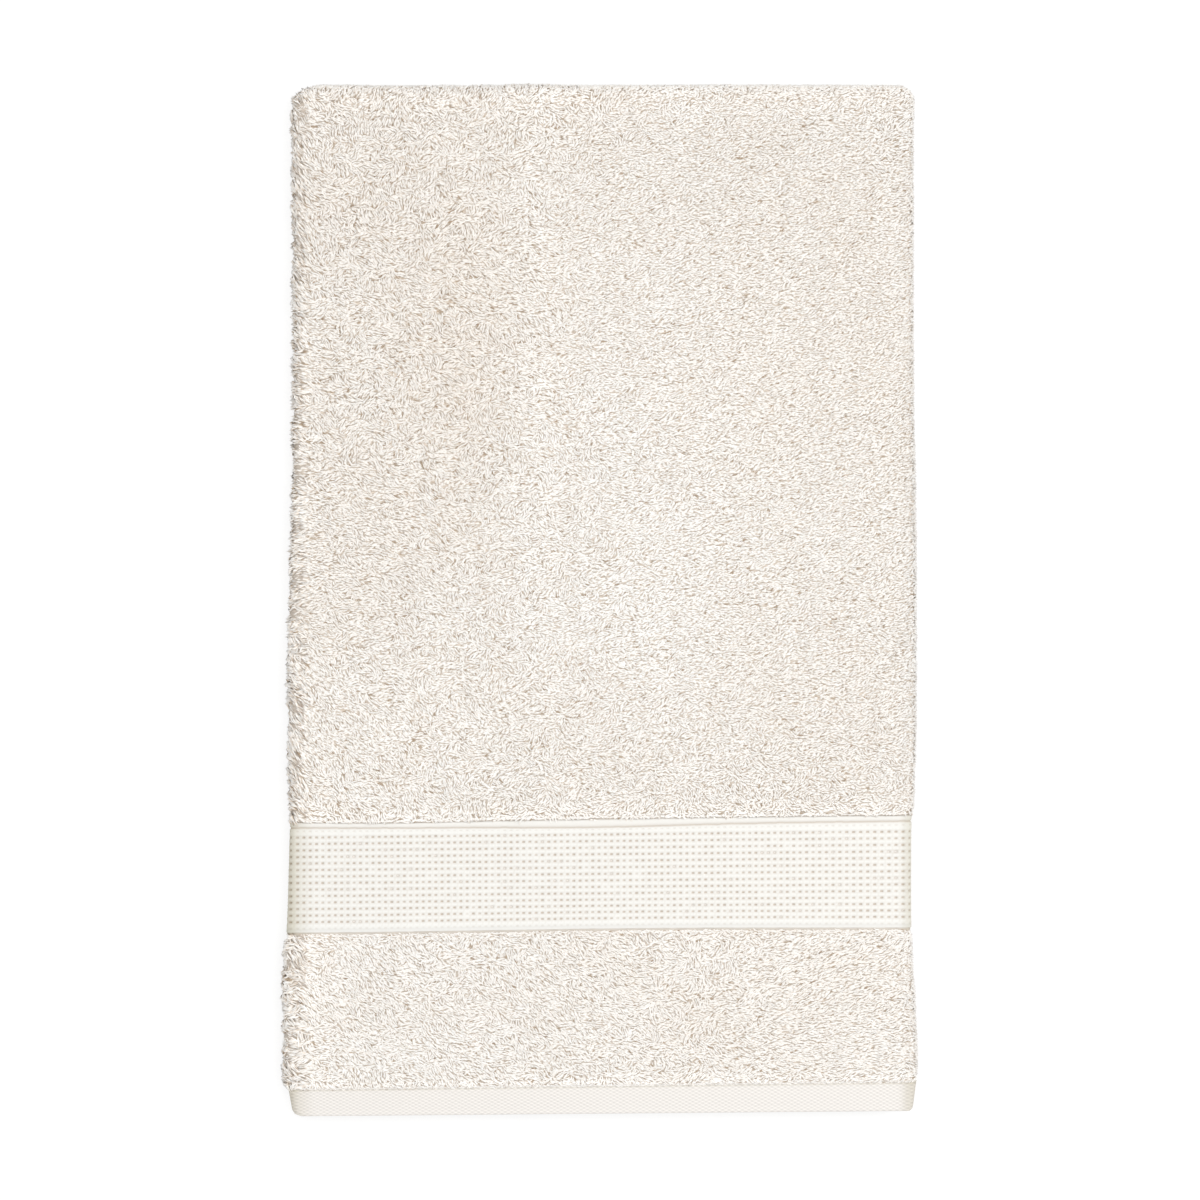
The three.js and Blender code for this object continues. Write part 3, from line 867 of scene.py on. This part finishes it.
# Painted shade on flat cloth: darker and warmer where it bends down at its sides.
# side: -1 for left. start, full: how far from the middle. most: how much darker.
FOLD_PAINTED_SHADES = [
    (-1.0, 155.0, 170.0, 0.16),
    (-1.0, 165.0, 169.0, 0.10),
    (1.0, 161.0, 168.5, 0.20),
]
WARM_PAINTED_SHADE = (0.92, 1.0, 1.3)     # how much each colour takes of the warm painted shade


def fold_painted_shade(t):
    """What the colour of flat cloth is multiplied by, for painted shade at its sides."""
    shade = np.zeros(np.shape(t))
    for side, start, full, most in FOLD_PAINTED_SHADES:
        shade += most * smooth_step(side * t, start, full)
    return 1.0 - shade[..., None] * np.array(WARM_PAINTED_SHADE)


def cloth_tint(x, y):
    """The cloth's colour by place: cream, with soft warmer and darker stretches, some of them painted light
    and shade.
    """
    warmth = np.full(np.shape(x), WARMTH)
    for strength, size, seed in WARMTH_NOISES:
        warmth += strength * soft_noise(x, y, size, seed)
    shade = STREAK_SHADE * soft_noise(x / STREAK_ACROSS, y / STREAK_ALONG, STREAK_SIZE, STREAK_SEED)
    for cx, cy, reach_x, reach_y, more_warmth, darker in TINTS_AND_PAINTED_LIGHT:
        weight = np.exp(-((x - cx) / reach_x) ** 2 - ((y - cy) / reach_y) ** 2)
        warmth += weight * more_warmth
        shade += weight * darker
    cream, warm = np.array(CREAM), np.array(WARM)
    return (cream + (warm - cream) * warmth[..., None]) * (1.0 - shade[..., None])


# The flat border with its rows of small pits

PIT_ROW_PITCH = 3.577
PIT_ROWS_AT = 105.8      # s of the first full row, next to the hem end
PIT_ROWS = 14
COLUMN_PITCH = 3.42
LAST_PITCH = 2.8
# Where the pitch of the columns changes: from and to which t, and by how much
COLUMN_CHANGES = [(90.0, 150.0, 0.45), (161.0, 166.0, -1.3)]
BORDER_MIDDLE = 130.0    # s
BORDER_SIDES = 0.9       # how far it goes round the side folds, as a share of the half circle
PIT_DEPTH = 0.85
# The mesh's places in one repeat, as shares of it across and along
PIT_U = (0.0, 0.24, 0.35, 0.65, 0.76)
PIT_V = (0.0, 0.32, 0.41, 0.59, 0.68)
# How deep the cloth lies there, as shares of the pit's depth: rows by v, columns by u
PIT_SHAPE = np.array([
    [0.20, 0.0, 0.0, 0.0, 0.0],
    [0.30, 0.24, 0.26, 0.26, 0.24],
    [0.10, 0.24, 1.0, 1.0, 0.24],
    [0.10, 0.24, 1.0, 1.0, 0.24],
    [0.30, 0.24, 0.26, 0.26, 0.24],
])
# Flat strips beside the rows: s, and the depth there, which also sets their painted shade
NEAR_STRIP = [(98.2, 0.75), (99.3, 0.65), (99.8, 0.55), (100.15, 0.12), (100.4, 0.0)]
FAR_STRIP = [
    (157.0, 0.12),
    (157.4, 0.35),
    (157.9, 0.8),
    (158.3, 0.42),
    (158.8, 0.22),
    (159.4, 0.12),
    (160.3, 0.08),
    (160.8, 0.12),
    (161.05, 0.6),
    (161.5, 0.85),
    (163.5, 0.85),
]
EDGE_ROWS = (0.25, 0.3)  # strength of the weak rows of pits before and after the full ones
PIT_UNEVEN = 0.16        # spread of the pits' depths, as a share
PIT_SHIFT = 0.07         # spread of their places, where the cloth lies deeper than this
SHIFTED_DEPTH = 0.3
BORDER_SEED = 50
BORDER_LIGHT = (0.742, 0.735, 0.705)
# painted shade: the colour at the full depth of the pits and grooves
BORDER_DEEP_PAINTED_SHADE = (0.533, 0.468, 0.402)
# Painted shade of the terry strip on the border beside it: at which s, how far, and how much
NEAR_PAINTED_SHADE_AT, NEAR_PAINTED_SHADE_REACH, NEAR_PAINTED_SHADE = 101.3, 1.2, 0.11
BORDER_LIFT = 0.05       # of the border's weave over the cloth it stands for


def column_pitch(t):
    """Pitch of the pits across the border."""
    pitch = COLUMN_PITCH
    for start, end, change in COLUMN_CHANGES:
        pitch = pitch + change * smooth_step(t, start, end)
    return pitch


def border_columns():
    """t of the repeats across the border, round both side folds."""
    row = {key: float(value) for key, value in cloth_row(np.float64(BORDER_MIDDLE)).items()}
    fold = math.pi * row["radius"] * BORDER_SIDES
    columns = [row["left_turn"] - fold]
    while columns[-1] < row["right_turn"] + fold:
        columns.append(columns[-1] + float(column_pitch(np.float64(columns[-1]))))
    return np.array(columns)


def pit_depths(rows, columns, rng):
    """Depth of the border over the mesh's places in all repeats."""
    strength = np.repeat(np.array([EDGE_ROWS[0]] + [1.0] * PIT_ROWS + [EDGE_ROWS[1]]), len(PIT_V))
    spread = rng.normal(1.0, PIT_UNEVEN, (rows, columns))
    uneven = np.repeat(np.repeat(spread, len(PIT_V), 0), len(PIT_U), 1)
    return np.tile(PIT_SHAPE, (rows, columns)) * strength[:, None] * PIT_DEPTH * uneven


def border_colours(s, t, depth):
    """Pale on the face of the border, with painted shade growing with depth, at its sides and beside the
    terry.
    """
    light, deep = np.array(BORDER_LIGHT), np.array(BORDER_DEEP_PAINTED_SHADE)
    share = np.clip(depth / PIT_DEPTH, 0, 1)[..., None]
    strip_painted_shade = NEAR_PAINTED_SHADE * np.exp(-((s - NEAR_PAINTED_SHADE_AT) / NEAR_PAINTED_SHADE_REACH) ** 2)[..., None]
    return (light + (deep - light) * share) * fold_painted_shade(t) * (1.0 - strip_painted_shade)


def build_border():
    """The woven face of the upper border, round to the back at both sides."""
    rng = np.random.default_rng(SEED + BORDER_SEED)
    columns = border_columns()
    pitch = np.diff(columns, append=columns[-1] + LAST_PITCH)
    t = (columns[:, None] + pitch[:, None] * np.array(PIT_U)).ravel()
    rows = PIT_ROWS_AT + PIT_ROW_PITCH * (np.arange(-1, PIT_ROWS + 1) - 0.5)
    s_rows = (rows[:, None] + PIT_ROW_PITCH * np.array(PIT_V)).ravel()
    s = np.concatenate([[at for at, _ in NEAR_STRIP], s_rows, [at for at, _ in FAR_STRIP]])
    near, far = (np.array([depth for _, depth in strip])[:, None] for strip in (NEAR_STRIP, FAR_STRIP))
    depth = pit_depths(len(rows), len(columns), rng)
    depth = np.concatenate([np.repeat(near, len(t), 1), depth, np.repeat(far, len(t), 1)])
    s, t = np.repeat(s[:, None], len(t), 1), np.repeat(t[None], len(s), 0)
    shift = rng.normal(0, PIT_SHIFT, (len(s) // len(PIT_V) + 1, len(columns)))
    shift = np.repeat(np.repeat(shift, len(PIT_V), 0), len(PIT_U), 1)
    s = s + shift[:len(s)] * (depth > SHIFTED_DEPTH)
    heights = BORDER / 2 + BORDER_LIFT - depth + side_bulge(s, t)
    points = to_frame(place(s, t, heights).reshape(-1, 3))
    count, across = s.shape
    index = np.arange(count * across).reshape(count, across)
    a, b = index[:-1, :-1], index[:-1, 1:]
    faces = np.stack([a, b, b + across, a + across], -1).reshape(-1, 4)
    colours = border_colours(s, t, depth).reshape(-1, 3)
    places = np.stack([t, s], -1).reshape(-1, 2) * MM
    return add_mesh("border_weave", points, faces, colours, places)


# Materials

def cotton_material(name):
    """Matt cotton in the colour of each place of the mesh, painted light and shade included."""
    material = bpy.data.materials.new(name)
    material.use_nodes = True
    nodes = material.node_tree.nodes
    shader = next(node for node in nodes if node.type == "BSDF_PRINCIPLED")
    shader.inputs["Roughness"].default_value = COTTON_ROUGHNESS
    shader.inputs["Specular IOR Level"].default_value = COTTON_SHINE
    tone = nodes.new("ShaderNodeVertexColor")
    tone.name = "tone"
    tone.layer_name = "tone"
    material.node_tree.links.new(tone.outputs["Color"], shader.inputs["Base Color"])
    return material


def woven_material(name):
    """Plain cotton with a small diamond weave, as bumps with painted shade in their low places, laid out in
    the cloth's own directions.
    """
    material = cotton_material(name)
    nodes, links = material.node_tree.nodes, material.node_tree.links
    shader = next(node for node in nodes if node.type == "BSDF_PRINCIPLED")
    places = nodes.new("ShaderNodeUVMap")
    places.uv_map = "cloth"
    apart = nodes.new("ShaderNodeSeparateXYZ")
    links.new(places.outputs["UV"], apart.inputs[0])

    def math_node(operation, first, second=None):
        node = nodes.new("ShaderNodeMath")
        node.operation = operation
        for socket, value in zip(node.inputs, (first, second)):
            if isinstance(value, (int, float)):
                socket.default_value = value
            elif value is not None:
                links.new(value, socket)
        return node.outputs[0]

    across = math_node("MULTIPLY", apart.outputs["X"], 2 * math.pi / (WEAVE_ACROSS * MM))
    along = math_node("MULTIPLY", apart.outputs["Y"], 2 * math.pi / (WEAVE_ALONG * MM))
    height = math_node("MULTIPLY", math_node("SINE", across), math_node("SINE", along))
    # painted shade in the weave's low places
    light = math_node("ADD", math_node("MULTIPLY", height, WEAVE_PAINTED_SHADE / 2), 1.0 - WEAVE_PAINTED_SHADE / 2)
    shaded = nodes.new("ShaderNodeVectorMath")
    shaded.operation = "SCALE"
    links.new(nodes["tone"].outputs["Color"], shaded.inputs[0])
    links.new(light, shaded.inputs["Scale"])
    links.new(shaded.outputs[0], shader.inputs["Base Color"])
    bump = nodes.new("ShaderNodeBump")
    bump.inputs["Strength"].default_value = WEAVE_BUMP
    bump.inputs["Distance"].default_value = WEAVE_DEPTH * MM
    links.new(height, bump.inputs["Height"])
    links.new(bump.outputs["Normal"], shader.inputs["Normal"])
    return material


# The whole

def build_pile():
    """All the loops: the body, the strip between border and hem, the lower half's sides, and the lips."""
    body_rows = loop_rows(BODY_START, TURN_END)
    strip_rows = loop_rows(STRIP_LOOPS_FROM, STRIP_LOOPS_TO)
    lower_rows = loop_rows(TURN_END, LOWER_HEM_AT - LOWER_BORDER_END)
    lower_rows += loop_rows(LOWER_HEM_AT - LOWER_STRIP_END, LOWER_HEM_AT - LOWER_HEM_LINE)
    pile = loops_in_pieces("terry_body", *loop_grid(body_rows, *UPPER_SIDES), BODY_LOOP)
    pile += loops_in_pieces("terry_strip", *loop_grid(strip_rows, *UPPER_SIDES), STRIP_LOOP)
    lower_places = loop_grid(lower_rows, *LOWER_SIDES, with_middle=False)
    pile += loops_in_pieces("terry_lower_side", *lower_places, LOWER_LOOP)
    pile += [lip(name, s, height_drop) for name, s, height_drop in LIPS]
    return pile


def dress():
    """The whole towel: its woven ground, the border's weave and the pile, as one folded sheet."""
    ground = build_ground()
    ground.data.materials.append(woven_material("woven_cotton"))
    border = build_border()
    border.data.materials.append(cotton_material("border_cotton"))
    terry = cotton_material("terry_loops")
    pile = build_pile()
    for piece in pile:
        piece.data.materials.append(terry)
    pieces = [border, *pile]
    for piece in [ground, *pieces]:
        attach(piece, "root")
    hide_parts("towel")


def build_floor():
    """A pale surface that glows softly, so that it shows as white as the photo's background."""
    mesh = bpy.data.meshes.new("floor")
    corners = [(-1, -1), (1, -1), (1, 1), (-1, 1)]
    mesh.from_pydata([(x * FLOOR_HALF, y * FLOOR_HALF, 0) for x, y in corners], [], [(0, 1, 2, 3)])
    floor = bpy.data.objects.new("floor", mesh)
    floor.location.z = -FLOOR_BELOW
    bpy.context.scene.collection.objects.link(floor)
    material = bpy.data.materials.new("floor")
    material.use_nodes = True
    shader = next(node for node in material.node_tree.nodes if node.type == "BSDF_PRINCIPLED")
    shader.inputs["Base Color"].default_value = (FLOOR_GREY, FLOOR_GREY, FLOOR_GREY, 1)
    shader.inputs["Roughness"].default_value = FLOOR_ROUGHNESS
    shader.inputs["Emission Color"].default_value = (1, 1, 1, 1)
    shader.inputs["Emission Strength"].default_value = FLOOR_GLOW
    mesh.materials.append(material)


def stage():
    """The floor, soft studio light and the camera straight above."""
    build_floor()
    world = bpy.data.worlds.new("studio")
    world.use_nodes = True
    background = world.node_tree.nodes["Background"]
    background.inputs["Color"].default_value = (1, 1, 1, 1)
    background.inputs["Strength"].default_value = ROOM_LIGHT
    bpy.context.scene.world = world

    for name, size, watts, place_at in LIGHTS:
        light = bpy.data.lights.new(name, "AREA")
        light.shape = "DISK"
        light.size = size
        light.energy = watts
        lamp = bpy.data.objects.new(name, light)
        lamp.location = place_at
        lamp.rotation_euler = (-lamp.location).to_track_quat("-Z", "Y").to_euler()
        bpy.context.scene.collection.objects.link(lamp)

    camera_data = bpy.data.cameras.new("camera")
    camera_data.lens = LENS_MM
    camera_data.sensor_width = SENSOR_MM
    camera = bpy.data.objects.new("camera", camera_data)
    photo_width = PHOTO_SIDE * MM_PER_PIXEL * MM
    camera.location = (0.0, 0.0, photo_width * LENS_MM / SENSOR_MM + SCALE_HEIGHT * MM)
    bpy.context.scene.collection.objects.link(camera)
    bpy.context.scene.camera = camera
    bpy.context.scene.view_settings.view_transform = "Standard"


dress()
stage()
